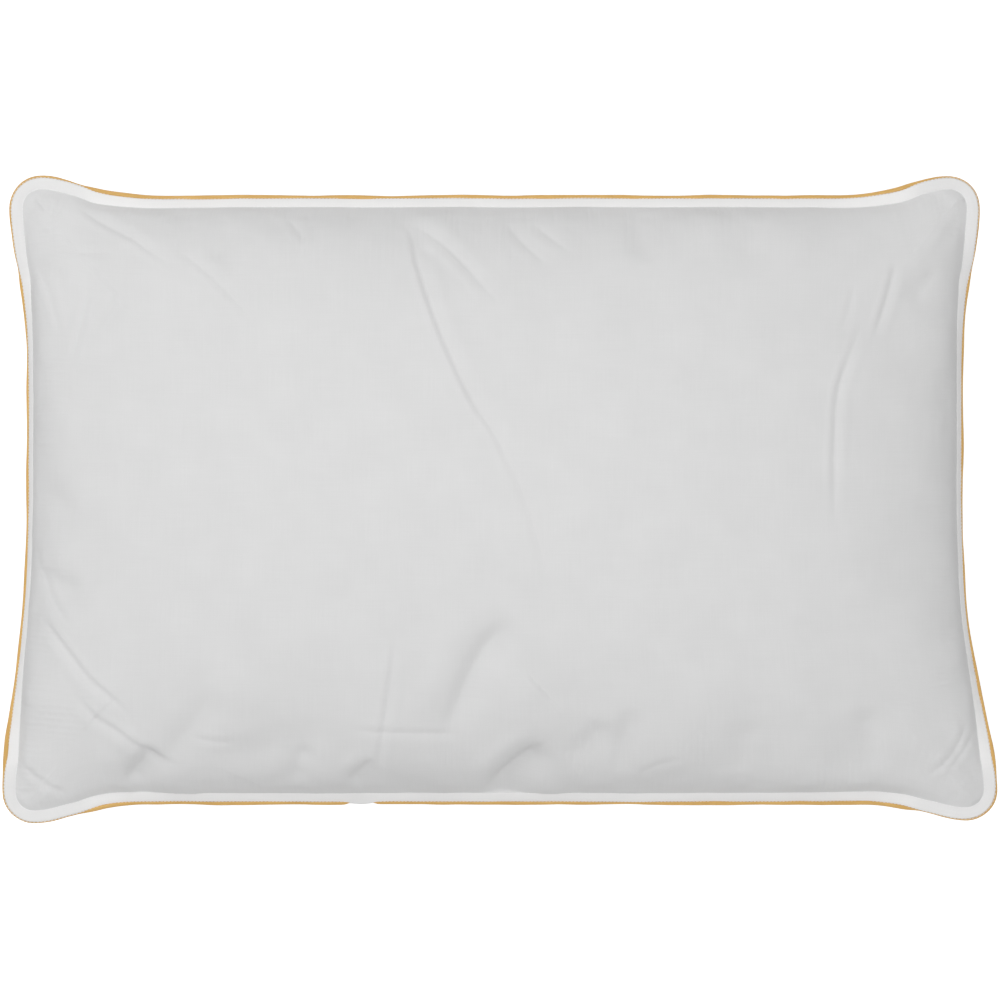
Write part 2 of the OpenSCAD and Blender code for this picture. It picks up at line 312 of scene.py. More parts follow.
def add_flange(piece, flat, profile, seed):
    """Carries the face's edge out over the flange and round into the gutter, and maps the cloth's own UV."""
    bm = bmesh.new()
    bm.from_mesh(piece.data)
    bm.verts.ensure_lookup_table()
    share = bm.verts.layers.float.new("seam_share")
    cloth_x, cloth_y = bm.verts.layers.float.new("cloth_x"), bm.verts.layers.float.new("cloth_y")
    # The 'layers' attribute holds the flange's whiter colour, with painted shade in the corner ears.
    flange, layers = bm.verts.layers.float.new("flange"), bm.verts.layers.float.new("layers")
    for vert, (x, y, _) in zip(bm.verts, flat):
        vert[cloth_x], vert[cloth_y] = x, y
        u, v = x / FLAT_WIDTH + 0.5, y / FLAT_DEPTH + 0.5
        lower, upper, left, right = side_at(u, v)
        if v < 1e-4:
            vert[share] = lower
        elif v > 1 - 1e-4:
            vert[share] = upper
        elif u < 1e-4:
            vert[share] = left
        elif u > 1 - 1e-4:
            vert[share] = right
    edges = [e for e in bm.edges if e.is_boundary]
    reach = 0.0
    for out, up in profile:
        grown = bmesh.ops.extrude_edge_only(bm, edges=edges)["geom"]
        verts = [g for g in grown if isinstance(g, bmesh.types.BMVert)]
        edges = [g for g in grown if isinstance(g, bmesh.types.BMEdge) and g.is_boundary]
        at = np.array([v[share] for v in verts])
        wave = ripple(at, 0.016, seed) * 0.22 * MM + ripple(at, 0.06, seed + 5) * 0.25 * MM
        lift = min(1.0, out / (6 * MM)) * np.sign(up)
        cover = LAP_COVER * lapped(at) * (out / FLANGE_WIDTH) ** 4
        places = on_flange(at, out + cover, up + wave * lift)
        # In the corner ears the flange's colour is painted darker, as painted shade.
        for vert, place, layer_white_with_painted_ear_shade in zip(verts, places, 1 - EAR_PAINTED_SHADE * ear(places)):
            vert.co = place
            vert[flange], vert[layers] = 1.0, layer_white_with_painted_ear_shade
            x, y = vert[cloth_x], vert[cloth_y]
            grow = out - reach
            vert[cloth_x] = x + math.copysign(grow, x) * (abs(x) > 0.999 * FLAT_WIDTH / 2)
            vert[cloth_y] = y + math.copysign(grow, y) * (abs(y) > 0.999 * FLAT_DEPTH / 2)
        reach = out
    bmesh.ops.recalc_face_normals(bm, faces=bm.faces)
    middle = min(bm.faces, key=lambda f: f.calc_center_median().xy.length)
    if (middle.normal.z > 0) != (profile[1][1] > 0):
        bmesh.ops.reverse_faces(bm, faces=bm.faces)
    uv = bm.loops.layers.uv.new("cloth")
    for face in bm.faces:
        face.smooth = True
        for loop in face.loops:
            loop[uv].uv = (loop.vert[cloth_x], loop.vert[cloth_y])
    bm.to_mesh(piece.data)
    bm.free()


def refined(piece, levels):
    """Applies a smooth subdivision to a piece's mesh."""
    modifier = piece.modifiers.new("smooth", "SUBSURF")
    modifier.levels = modifier.render_levels = levels
    evaluated = piece.evaluated_get(bpy.context.evaluated_depsgraph_get())
    mesh = bpy.data.meshes.new_from_object(evaluated)
    piece.modifiers.remove(modifier)
    old, piece.data = piece.data, mesh
    mesh.name = piece.name
    bpy.data.meshes.remove(old)


def vertex_normals(mesh):
    normals = np.empty(len(mesh.vertices) * 3, np.float32)
    mesh.vertex_normals.foreach_get("vector", normals)
    return normals.reshape(-1, 3).astype(float)


def vertex_values(mesh, name):
    values = np.empty(len(mesh.vertices), np.float32)
    mesh.attributes[name].data.foreach_get("value", values)
    return values


def fold_height(co, points, wide, narrow, depth, power):
    """Height change of one fold along a smooth line, wide on its left, narrow on its right, gone at its ends."""
    line_knots = np.array(points, float)
    t = np.linspace(0, len(line_knots) - 1, 12 * len(line_knots))
    i = np.clip(t.astype(int), 0, len(line_knots) - 2)
    f = (t - i)[:, None]
    p0, p1 = line_knots[np.maximum(i - 1, 0)], line_knots[i]
    p2, p3 = line_knots[i + 1], line_knots[np.minimum(i + 2, len(line_knots) - 1)]
    square, cube = 2 * p0 - 5 * p1 + 4 * p2 - p3, 3 * p1 - p0 - 3 * p2 + p3
    line = p1 + 0.5 * ((p2 - p0) * f + square * f**2 + cube * f**3)
    change = np.zeros(len(co))
    margin = 5 * max(wide, narrow)
    inside = (co[:, :2] > line.min(0) - margin) & (co[:, :2] < line.max(0) + margin)
    near = np.nonzero(np.all(inside, axis=1))[0]
    if len(near) == 0:
        return change
    a, ab = line[:-1], np.diff(line, axis=0)
    length = np.append(0, np.cumsum(np.linalg.norm(ab, axis=1)))
    best, side, place = np.full(len(near), 1e9), np.zeros(len(near)), np.zeros(len(near))
    for k in range(len(ab)):
        from_start = co[near, :2] - a[k]
        along = np.clip(from_start @ ab[k] / (ab[k] @ ab[k]), 0, 1)
        gap = np.linalg.norm(from_start - along[:, None] * ab[k], axis=1)
        closer = gap < best
        best[closer] = gap[closer]
        side[closer] = (ab[k][0] * from_start[closer, 1] - ab[k][1] * from_start[closer, 0]) > 0
        place[closer] = (length[k] + along[closer] * (length[k + 1] - length[k])) / length[-1]
    taper = swell(place, 0, 0.3) * (1 - swell(place, 0.65, 1))
    across = best / np.where(side > 0, wide, narrow)
    furrow = np.exp(-across**power)
    shoulder = 0.3 * np.exp(-((across - 3.0) / 1.4) ** 2)
    change[near] = depth * taper * (shoulder - furrow)
    return change


front, front_flat = cut_panel("front_panel_cloth", FRONT_RISE)
inflate(front, front_flat)
front_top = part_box("front_panel")[1].z
front_co = coordinates(front.data)
foot_z = front_co[:, 2].min()
stretch = (front_top - foot_z) / (front_co[:, 2].max() - foot_z)
front_co[:, 2] = foot_z + (front_co[:, 2] - foot_z) * stretch
set_coordinates(front.data, front_co)
crown_points = front_co.copy()
FLANGE_PROFILE = [
    (STITCH_OUT, 0.7 * MM), (1.4 * MM, 1.0 * MM), (4.5 * MM, 1.15 * MM),
    (7.8 * MM, 1.1 * MM), (8.7 * MM, 0.85 * MM), (9.0 * MM, 0.4 * MM), (8.9 * MM, 0.12 * MM),
]
add_flange(front, front_flat, FLANGE_PROFILE, 3.0)
refined(front, 2)


# ---- Cloth finishes ----
# Downproof cotton is calendered: smooth, very slightly glossy, with an even plain weave and faint slubs.
# The flange is whiter, because six layers of cloth lie there instead of one over down; in the corner ears its
# colour is painted darker, as painted shade.
WEAVE_PITCH = 0.36 * MM


def finish(name, colour, roughness):
    """A new material with its shader and a helper that adds and joins nodes."""
    material = bpy.data.materials.new(name)
    material.use_nodes = True
    tree = material.node_tree
    shader = tree.nodes["Principled BSDF"]
    shader.inputs["Base Color"].default_value = (*colour, 1)
    shader.inputs["Roughness"].default_value = roughness

    def add(kind, inputs=(), **settings):
        node = tree.nodes.new(kind)
        for key, value in settings.items():
            setattr(node, key, value)
        for key, value in dict(inputs).items():
            if isinstance(value, bpy.types.NodeSocket):
                tree.links.new(value, node.inputs[key])
            else:
                node.inputs[key].default_value = value
        return node

    return material, shader, add


def link(shader, name, socket):
    shader.id_data.links.new(socket, shader.inputs[name])


def wave_scale(pitch):
    """The Wave texture's scale for bands at a pitch: it makes 3.18 of them to a unit at scale 1."""
    return 1 / pitch / 3.18


def cotton(name, face, folded, roughness):
    """Plain-weave cotton, mapped by the cloth's own UV in metres; flange layers show a whiter colour, painted
    darker as shade in the corner ears.
    """
    material, shader, add = finish(name, face, roughness)
    uv = add("ShaderNodeUVMap", uv_map="cloth").outputs["UV"]
    down = add("ShaderNodeTexNoise", {"Vector": uv, "Scale": 26.0, "Detail": 2.0, "Roughness": 0.55})
    warp_at = add("ShaderNodeMapping", {"Vector": uv, "Scale": (1400.0, 28.0, 1.0)})
    weft_at = add("ShaderNodeMapping", {"Vector": uv, "Scale": (28.0, 1400.0, 1.0)})
    warp = add("ShaderNodeTexNoise", {"Vector": warp_at.outputs[0], "Scale": 1.0, "Detail": 1.0})
    weft = add("ShaderNodeTexNoise", {"Vector": weft_at.outputs[0], "Scale": 1.0, "Detail": 1.0})
    slubs = add("ShaderNodeMath", {0: warp.outputs["Fac"], 1: weft.outputs["Fac"]}, operation="ADD")
    tone = add("ShaderNodeMapRange", {"Value": down.outputs["Fac"], 1: 0.3, 2: 0.7, 3: 0.985, 4: 1.015})
    grain = add("ShaderNodeMapRange", {"Value": slubs.outputs[0], 1: 0.6, 2: 1.4, 3: 0.985, 4: 1.015})
    both = add("ShaderNodeMath", {0: tone.outputs[0], 1: grain.outputs[0]}, operation="MULTIPLY")
    # The 'layers' attribute mixes in the flange's whiter colour, painted darker as shade in the corner ears.
    layers = add("ShaderNodeAttribute", attribute_name="layers")
    base = add("ShaderNodeMix", {"Factor": layers.outputs["Fac"]}, data_type="RGBA")
    base.inputs["A"].default_value = (*face, 1)
    base.inputs["B"].default_value = (*folded, 1)
    shade = add("ShaderNodeVectorMath", {0: base.outputs["Result"]}, operation="SCALE")
    shade.id_data.links.new(both.outputs[0], shade.inputs["Scale"])
    link(shader, "Base Color", shade.outputs[0])
    bands = {"Vector": uv, "Scale": wave_scale(WEAVE_PITCH), "Distortion": 0.4, "Detail": 0.0}
    warp_wave = add("ShaderNodeTexWave", bands, wave_type="BANDS", bands_direction="X")
    weft_wave = add("ShaderNodeTexWave", bands, wave_type="BANDS", bands_direction="Y")
    crossed = {0: warp_wave.outputs["Fac"], 1: weft_wave.outputs["Fac"]}
    weave = add("ShaderNodeMath", crossed, operation="MULTIPLY")
    relief = {0: slubs.outputs[0], 1: 0.5, 2: weave.outputs[0]}
    height = add("ShaderNodeMath", relief, operation="MULTIPLY_ADD")
    bump = add("ShaderNodeBump", {"Height": height.outputs[0], "Strength": 0.35, "Distance": 0.05 * MM})
    link(shader, "Normal", bump.outputs[0])
    shader.inputs["Specular IOR Level"].default_value = 0.28
    shader.inputs["Sheen Weight"].default_value = 0.12
    shader.inputs["Sheen Roughness"].default_value = 0.45
    return material


def made_of(piece, material):
    """Gives a finished panel its cloth, and the cloth its thickness."""
    piece.data.materials.clear()
    piece.data.materials.append(material)
    shell = piece.modifiers.new("cloth", "SOLIDIFY")
    shell.thickness, shell.offset = CLOTH_THICKNESS, -1.0


cambric = cotton("white_cambric", (0.70, 0.70, 0.70), (0.85, 0.845, 0.84), 0.72)

# Creases of the front, where the cloth was folded in its bag, and the softer folds where the down gives way.
# Each is a line of points in metres, and its widths on its left and right and its depth in millimetres.
CREASES = [
    ([(-0.084, 0.214), (-0.067, 0.199), (-0.060, 0.171), (-0.046, 0.129), (-0.031, 0.094), (-0.018, 0.069),
      (-0.003, 0.046), (0.012, 0.012)], 3.6, 1.5, 1.95),
    ([(-0.010, 0.058), (0.010, 0.020), (0.023, -0.015), (0.032, -0.050), (0.034, -0.075)], 4.5, 2.0, 0.77),
    ([(-0.075, 0.207), (-0.060, 0.203), (-0.041, 0.189), (-0.024, 0.172), (-0.012, 0.157), (0.003, 0.140)],
     3.2, 2.4, 1.27),
    ([(0.003, 0.208), (0.020, 0.188), (0.038, 0.171)], 3.0, 2.2, 0.77),
    ([(0.023, 0.208), (0.040, 0.193), (0.055, 0.182)], 3.0, 2.2, 0.77),
    ([(-0.320, 0.221), (-0.295, 0.206), (-0.273, 0.194), (-0.258, 0.183), (-0.242, 0.172)], 2.6, 1.5, 1.44),
    ([(-0.246, 0.188), (-0.226, 0.176), (-0.205, 0.157), (-0.190, 0.141), (-0.178, 0.126)], 2.8, 1.8, 0.94),
    ([(-0.352, 0.184), (-0.330, 0.187), (-0.308, 0.184), (-0.285, 0.185)], 2.0, 1.8, 0.94),
    ([(-0.350, 0.178), (-0.338, 0.158), (-0.330, 0.135), (-0.326, 0.115)], 2.2, 1.5, 0.85),
    ([(-0.303, 0.160), (-0.309, 0.140), (-0.314, 0.117), (-0.322, 0.092)], 1.8, 1.8, 0.77),
    ([(-0.283, 0.158), (-0.292, 0.140), (-0.304, 0.122)], 1.8, 1.8, 0.59),
    ([(0.294, 0.180), (0.289, 0.158), (0.283, 0.139), (0.275, 0.117)], 2.4, 1.6, 1.53),
    ([(0.270, 0.138), (0.259, 0.111), (0.252, 0.093), (0.247, 0.072), (0.245, 0.035), (0.245, 0.000),
      (0.246, -0.026)], 2.6, 1.6, 1.36),
    ([(0.262, 0.160), (0.257, 0.140), (0.250, 0.122)], 2.0, 1.6, 0.59),
    ([(-0.346, -0.082), (-0.326, -0.105), (-0.304, -0.132), (-0.288, -0.146), (-0.270, -0.163)], 1.6, 2.6, 1.70),
    ([(-0.320, -0.138), (-0.300, -0.161), (-0.281, -0.173), (-0.258, -0.189), (-0.234, -0.200)], 1.6, 2.6, 1.36),
    ([(-0.348, -0.030), (-0.338, -0.060), (-0.327, -0.082), (-0.312, -0.100)], 1.8, 2.2, 0.68),
    ([(-0.362, -0.193), (-0.348, -0.207), (-0.334, -0.216), (-0.318, -0.222)], 1.5, 1.8, 1.02),
    ([(-0.076, -0.090), (-0.079, -0.120), (-0.085, -0.160), (-0.089, -0.185), (-0.092, -0.214)], 2.4, 1.5, 1.19),
    ([(-0.118, -0.167), (-0.095, -0.170), (-0.070, -0.171), (-0.045, -0.172), (-0.020, -0.175)], 1.8, 2.4, 0.77),
    ([(-0.231, -0.176), (-0.212, -0.179), (-0.194, -0.181)], 1.8, 1.8, 0.60),
    ([(0.349, -0.163), (0.344, -0.180), (0.334, -0.195), (0.316, -0.209)], 1.5, 2.0, 1.10),
    ([(0.354, -0.172), (0.346, -0.189), (0.332, -0.205)], 1.5, 1.8, 0.85),
    ([(0.338, 0.060), (0.341, 0.020), (0.340, -0.020), (0.342, -0.060)], 2.0, 1.6, 0.59),
    ([(0.100, -0.205), (0.118, -0.195), (0.140, -0.190)], 1.8, 2.2, 0.68),
    ([(-0.160, 0.212), (-0.150, 0.200), (-0.144, 0.188)], 2.2, 1.8, 0.85),
]
SOFT_FOLDS = [
    ([(-0.066, 0.206), (-0.056, 0.190), (-0.047, 0.172)], 8.0, 6.0, 1.62),
    ([(0.017, -0.090), (-0.004, -0.101), (-0.018, -0.122), (-0.030, -0.150), (-0.040, -0.180)], 15.0, 8.0, 5.0),
    ([(0.037, -0.182), (0.019, -0.193), (0.002, -0.207), (-0.014, -0.221)], 13.0, 5.5, 6.4),
    ([(-0.252, -0.182), (-0.268, -0.199), (-0.280, -0.217)], 13.0, 7.0, 6.0),
    ([(-0.205, -0.135), (-0.222, -0.160), (-0.240, -0.185), (-0.246, -0.210)], 14.0, 10.0, 3.24),
    ([(-0.092, -0.190), (-0.104, -0.201), (-0.114, -0.212)], 10.0, 3.5, 2.6),
    ([(-0.140, -0.180), (-0.150, -0.196), (-0.154, -0.213)], 9.0, 6.0, 2.52),
    ([(-0.345, -0.050), (-0.325, -0.062), (-0.305, -0.066)], 7.0, 10.0, 2.16),
    ([(-0.345, 0.010), (-0.328, 0.000), (-0.312, -0.012)], 7.0, 9.0, 1.44),
    ([(0.100, -0.150), (0.092, -0.178), (0.088, -0.208)], 12.0, 8.0, 2.34),
    ([(0.080, -0.162), (0.064, -0.182), (0.050, -0.198)], 14.0, 9.0, 2.6),
    ([(-0.236, -0.192), (-0.190, -0.187), (-0.140, -0.177), (-0.118, -0.166)], 16.0, 14.0, 3.0),
    ([(0.185, -0.160), (0.180, -0.185), (0.176, -0.210)], 10.0, 12.0, 1.98),
    ([(0.270, -0.150), (0.275, -0.180), (0.284, -0.208)], 10.0, 12.0, 2.52),
    ([(0.218, -0.124), (0.240, -0.141), (0.262, -0.160)], 8.0, 8.0, 1.08),
    ([(-0.200, 0.212), (-0.205, 0.190), (-0.215, 0.172)], 10.0, 8.0, 1.62),
    ([(0.100, 0.212), (0.104, 0.192), (0.108, 0.174)], 9.0, 9.0, 1.44),
    ([(0.190, 0.212), (0.186, 0.190), (0.184, 0.172)], 9.0, 8.0, 1.26),
    ([(0.330, 0.175), (0.315, 0.160), (0.304, 0.142)], 6.0, 9.0, 1.62),
    ([(-0.352, 0.178), (-0.335, 0.170), (-0.318, 0.168)], 6.0, 10.0, 1.62),
]
co, normal = coordinates(front.data), vertex_normals(front.data)
flange_weight = vertex_values(front.data, "flange")
height = np.zeros(len(co))
for power, folds in ((1.25, CREASES), (2.0, SOFT_FOLDS)):
    for points, wide, narrow, depth in folds:
        height += fold_height(co, points, wide * MM, narrow * MM, depth * MM, power)


def from_seam(co):
    """Each point's distance in from the foot of the face, and the share of the seam that is nearest to it."""
    at = round_the_seam[::8]
    foot = seam_frame(at)[0][:, :2]
    inward, share = np.full(len(co), 1e9), np.zeros(len(co))
    for here, middle in zip(at, foot):
        gap = np.hypot(co[:, 0] - middle[0], co[:, 1] - middle[1])
        closer = gap < inward
        inward[closer], share[closer] = gap[closer], here
    return inward, share


def gathered(inward, share, wavelength, seed, depth, rise_to, from_in, to_in):
    """Puckers that run in from the seam: rising over a distance, and fading between two others."""
    waves = np.interp(share, round_the_seam, ripple(round_the_seam, wavelength, seed), period=1.0)
    return waves * depth * swell(inward, 0, rise_to) * (1 - swell(inward, from_in, to_in))


inward, share = from_seam(co)
height += gathered(inward, share, 0.012, 31.0, 0.75 * MM, 3 * MM, 5 * MM, 20 * MM)
height += gathered(inward, share, 0.030, 33.0, 2.2 * MM, 8 * MM, 12 * MM, 46 * MM)
lower_edge = 1 + 0.8 * swell(-co[:, 1], 0.10, 0.18)
height += gathered(inward, share, 0.085, 35.0, 3.2 * MM, 28 * MM, 34 * MM, 95 * MM) * lower_edge
lumps = np.array([
    noise.noise(Vector((x * 12, y * 12, 1.7))) + noise.noise(Vector((x * 32, y * 32, 4.1))) * 0.25
    for x, y, _ in co
])
height += lumps * MM * swell(inward, 4 * MM, 45 * MM)
set_coordinates(front.data, co + normal * (height * (1 - flange_weight))[:, None])
made_of(front, cambric)
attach(front, "root")
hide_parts("front_panel")

# ---- Piping cord ----
# A thin cotton cord laid in the fold of the satin strip, which it fills out.
# It starts and ends at the lap in the lower edge.
PIPING_STEPS = 820
CORD_SIDES, COVER_SIDES = 8, 12
CORD_SHARE = 0.78
LAP_SPACE = 1 * MM
ROLL, EAR_ROLL, ROLL_WANDER = 10, 66, 26


def piping_course(at):
    """Centre of the piping, sunk under the flange's edge at the corners and at the lap, and its radius."""
    foot, out, up, along = seam_frame(at)
    corner = ear(foot)
    lap = lapped(at)
    wander = (ripple(at, 0.045, 11.0) * 0.3 + ripple(at, 0.018, 12.0) * 0.25 - 0.35) * MM
    roll = np.radians(ROLL + EAR_ROLL * corner + ROLL_WANDER * ripple(at, 0.04, 13.0))
    reach = FLANGE_WIDTH + PIPING_RADIUS * np.cos(roll) + (0.1 - 0.6 * corner - 1.5 * lap) * MM + wander
    drop = -PIPING_RADIUS * np.sin(roll) - 0.9 * MM * lap
    radius = PIPING_RADIUS * (1 - 0.25 * lap)
    return foot + reach[:, None] * out + drop[:, None] * up, out, up, along, radius


def swept_tube(name, at, thickness, sides):
    """A round tube along the piping's course: a circle, extruded from station to station and closed."""
    centre, out, up, along, radius = piping_course(at)
    bm = bmesh.new()
    turn, length = bm.verts.layers.float.new("turn"), bm.verts.layers.float.new("length")
    ring = bmesh.ops.create_circle(bm, cap_ends=False, segments=sides, radius=1.0)["verts"]
    edges = list(bm.edges)
    travelled = np.append(0, np.cumsum(np.linalg.norm(np.diff(centre, axis=0), axis=1)))
    for vert in ring:
        vert[turn] = math.atan2(vert.co.y, vert.co.x)
    for k in range(len(at)):
        if k:
            grown = bmesh.ops.extrude_edge_only(bm, edges=edges)["geom"]
            ring = [g for g in grown if isinstance(g, bmesh.types.BMVert)]
            edges = [g for g in grown if isinstance(g, bmesh.types.BMEdge) and g.is_boundary]
        for vert in ring:
            a = vert[turn]
            vert.co = centre[k] + radius[k] * thickness * (math.cos(a) * out[k] + math.sin(a) * up[k])
            vert[length] = travelled[k]
    bmesh.ops.holes_fill(bm, edges=[e for e in bm.edges if e.is_boundary], sides=0)
    bmesh.ops.recalc_face_normals(bm, faces=bm.faces)
    uv = bm.loops.layers.uv.new("strip")
    for face in bm.faces:
        face.smooth = len(face.verts) == 4
        turns = [loop.vert[turn] for loop in face.loops]
        wraps = max(turns) - min(turns) > math.pi
        for loop in face.loops:
            angle = loop.vert[turn] + (2 * math.pi if wraps and loop.vert[turn] < 0 else 0)
            loop[uv].uv = (loop.vert[length], angle * PIPING_RADIUS)
    return put(name, finished_mesh(bm, name))


lap_share = LAP_SPACE / 2 / SEAM_LENGTH
piping_at = LAP_AT + np.linspace(lap_share, 1 - lap_share, PIPING_STEPS)
cord_finish, shader, add = finish("raw_cotton_cord", (0.82, 0.78, 0.68), 0.9)
uv = add("ShaderNodeUVMap", uv_map="strip").outputs["UV"]
twist = {"Vector": uv, "Rotation": (0, 0, math.radians(35)), "Scale": (300.0, 300.0, 1.0)}
lay = add("ShaderNodeMapping", twist).outputs[0]
strands = add("ShaderNodeTexWave", {"Vector": lay, "Scale": 1.0, "Distortion": 1.0}, bands_direction="X")
bump = add("ShaderNodeBump", {"Height": strands.outputs["Fac"], "Strength": 0.8, "Distance": 0.3 * MM})
link(shader, "Normal", bump.outputs[0])
cord = swept_tube("piping_cord_core", piping_at, CORD_SHARE, CORD_SIDES)
cord.data.materials.append(cord_finish)
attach(cord, "root")
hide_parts("piping_cord")

# ---- Piping cover ----
# A narrow strip of pale gold satin, cut on the bias so that it bends round the corners.
# It is folded over the cord, and its raw edges are sewn in between the panels.
satin, shader, add = finish("pale_gold_satin", (0.66, 0.43, 0.17), 0.42)
uv = add("ShaderNodeUVMap", uv_map="strip").outputs["UV"]
bias = add("ShaderNodeMapping", {"Vector": uv, "Rotation": (0, 0, math.radians(45))}).outputs[0]
satin_bands = {"Vector": bias, "Scale": wave_scale(0.3 * MM), "Distortion": 0.8, "Detail": 1.0}
floats = add("ShaderNodeTexWave", satin_bands, bands_direction="X")
tones = add("ShaderNodeTexNoise", {"Vector": uv, "Scale": 60.0, "Detail": 3.0})
colour = add("ShaderNodeMix", {"Factor": tones.outputs["Fac"]}, data_type="RGBA")
colour.inputs["A"].default_value = (0.60, 0.335, 0.075, 1)
colour.inputs["B"].default_value = (0.74, 0.455, 0.135, 1)
link(shader, "Base Color", colour.outputs["Result"])
bump = add("ShaderNodeBump", {"Height": floats.outputs["Fac"], "Strength": 0.5, "Distance": 0.06 * MM})
link(shader, "Normal", bump.outputs[0])
shader.inputs["Specular IOR Level"].default_value = 0.5
shader.inputs["Sheen Weight"].default_value = 0.25
shader.inputs["Anisotropic"].default_value = 0.4
piping = swept_tube("piping_satin", piping_at, 1.0, COVER_SIDES)
piping.data.materials.append(satin)
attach(piping, "root")
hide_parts("piping_cover")

# ---- Back panel ----
# The same cambric on the lower face, sewn to the front all round.
# The surface that the pillow lies on presses it flat in the middle.
# Free of that surface, its belly would reach FREE_DEPTH below it.
BACK_DROP = -86 * MM
FREE_DEPTH = 17 * MM
REST_EASE = 6 * MM
back, back_flat = cut_panel("back_panel_cloth", BACK_DROP)
inflate(back, back_flat)
back_co = coordinates(back.data)
top_z = back_co[:, 2].max()
stretch = (top_z + FREE_DEPTH) / (top_z - back_co[:, 2].min())
back_co[:, 2] = top_z + (back_co[:, 2] - top_z) * stretch
set_coordinates(back.data, back_co)
belly_points = np.column_stack([back_co[:, :2], np.maximum(back_co[:, 2], 1 * MM)])
add_flange(back, back_flat, [(out, -up) for out, up in FLANGE_PROFILE], 21.0)
refined(back, 1)
co, normal = coordinates(back.data), vertex_normals(back.data)
flange_weight = vertex_values(back.data, "flange")
lumps = np.array([noise.noise(Vector((x * 15, y * 15, 8.3))) for x, y, _ in co])
co += normal * (lumps * 1.2 * MM * (1 - flange_weight))[:, None]
z = co[:, 2]
eased = np.where(z > -REST_EASE, (z + REST_EASE) ** 2 / (4 * REST_EASE), 0)
co[:, 2] = np.where(z > REST_EASE, z, eased)
set_coordinates(back.data, co)
made_of(back, cambric)
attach(back, "root")
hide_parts("back_panel")

# ---- Seams ----
# Lockstitch in white cotton thread: a needle thread on one side and a bobbin thread on the other.
# Each stitch is a short float that dives into the cloth at both ends.
STITCH_PITCH = 2.7 * MM
THREAD = 0.32 * MM
TOPSTITCH_UP = 0.82 * MM
JOIN_OUT, JOIN_UP = 9.05 * MM, 0.75 * MM
CLOSING_OUT, CLOSING_UP = 6.5 * MM, 1.2 * MM
thread_finish, shader, add = finish("white_sewing_thread", (0.88, 0.88, 0.88), 0.6)
place = add("ShaderNodeTexCoord").outputs["Object"]
fibres = add("ShaderNodeTexNoise", {"Vector": place, "Scale": 900.0, "Detail": 1.0})
tone = add("ShaderNodeMapRange", {"Value": fibres.outputs["Fac"], 1: 0.3, 2: 0.7, 3: 0.82, 4: 0.92})
link(shader, "Base Color", tone.outputs[0])
bump = add("ShaderNodeBump", {"Height": fibres.outputs["Fac"], "Strength": 0.5, "Distance": 0.05 * MM})
link(shader, "Normal", bump.outputs[0])
shader.inputs["Sheen Weight"].default_value = 0.2

bm = bmesh.new()
on_its_side = Matrix.Rotation(math.pi / 2, 4, "Y")
bmesh.ops.create_uvsphere(bm, u_segments=6, v_segments=5, radius=1.0, matrix=on_its_side)
one_stitch = finished_mesh(bm, "one_stitch", smooth=True)


def stitch_row(name, node, start, end, out, up):
    """A row of stitches along part of the seam, at a distance out along the flange and up from its middle."""
    count = int(round((end - start) * SEAM_LENGTH / STITCH_PITCH))
    at = start + (np.arange(count) + 0.5) * (end - start) / count
    foot, outward, upward, along = seam_frame(at)
    bm = bmesh.new()
    for _ in range(count):
        bm.from_mesh(one_stitch)
    mesh = finished_mesh(bm, name)
    shape = coordinates(mesh).reshape(count, -1, 3)
    length, width, height = STITCH_PITCH * 0.46, THREAD * 0.55, THREAD * 0.45
    middle = (foot + out * outward + up * upward)[:, None, :]
    place = middle + shape[:, :, :1] * length * along[:, None, :]
    place -= shape[:, :, 1:2] * width * outward[:, None, :]
    place += shape[:, :, 2:] * height * upward[:, None, :]
    set_coordinates(mesh, place.reshape(-1, 3))
    piece = put(name, mesh)
    mesh.materials.append(thread_finish)
    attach(piece, "root")
    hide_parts(node)


stitch_row("topstitch_front", "topstitch_needle_thread", 0, 1, STITCH_OUT, TOPSTITCH_UP)
stitch_row("topstitch_back", "topstitch_bobbin_thread", 0, 1, STITCH_OUT, -TOPSTITCH_UP)
stitch_row("join_seam_front", "join_needle_thread", 0, 1, JOIN_OUT, JOIN_UP)
stitch_row("join_seam_back", "join_bobbin_thread", 0, 1, JOIN_OUT, -JOIN_UP)
closing_low, closing_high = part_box("closing_needle_thread")
right_side = np.linspace(lower_right, upper_right, 600)
right_y = seam_frame(right_side)[0][:, 1]
start, end = (right_side[np.argmin(np.abs(right_y - y))] for y in (closing_low.y, closing_high.y))
stitch_row("closing_row_front", "closing_needle_thread", start, end, CLOSING_OUT, CLOSING_UP)
stitch_row("closing_row_back", "closing_bobbin_thread", start, end, CLOSING_OUT, -CLOSING_UP)

# ---- Filling ----
# White down and small feathers, blown in loose through the opening in the right-hand edge.
# It takes the shape of the tick, FILL_DEPTH under the cloth, with a slightly lumpy surface.
FILL_DEPTH, FILL_LUMPS = 9.0 * MM, 1.5 * MM
FILL_SHARE = (0.984, 0.978)
down_finish, shader, add = finish("white_down", (0.86, 0.85, 0.82), 0.95)
place = add("ShaderNodeTexCoord").outputs["Object"]
clusters = add("ShaderNodeTexVoronoi", {"Vector": place, "Scale": 70.0})
bump = add("ShaderNodeBump", {"Height": clusters.outputs["Distance"], "Strength": 0.6, "Distance": 3 * MM})
link(shader, "Normal", bump.outputs[0])
tone = add("ShaderNodeMapRange", {"Value": clusters.outputs["Distance"], 3: 0.78, 4: 0.9})
link(shader, "Base Color", tone.outputs[0])

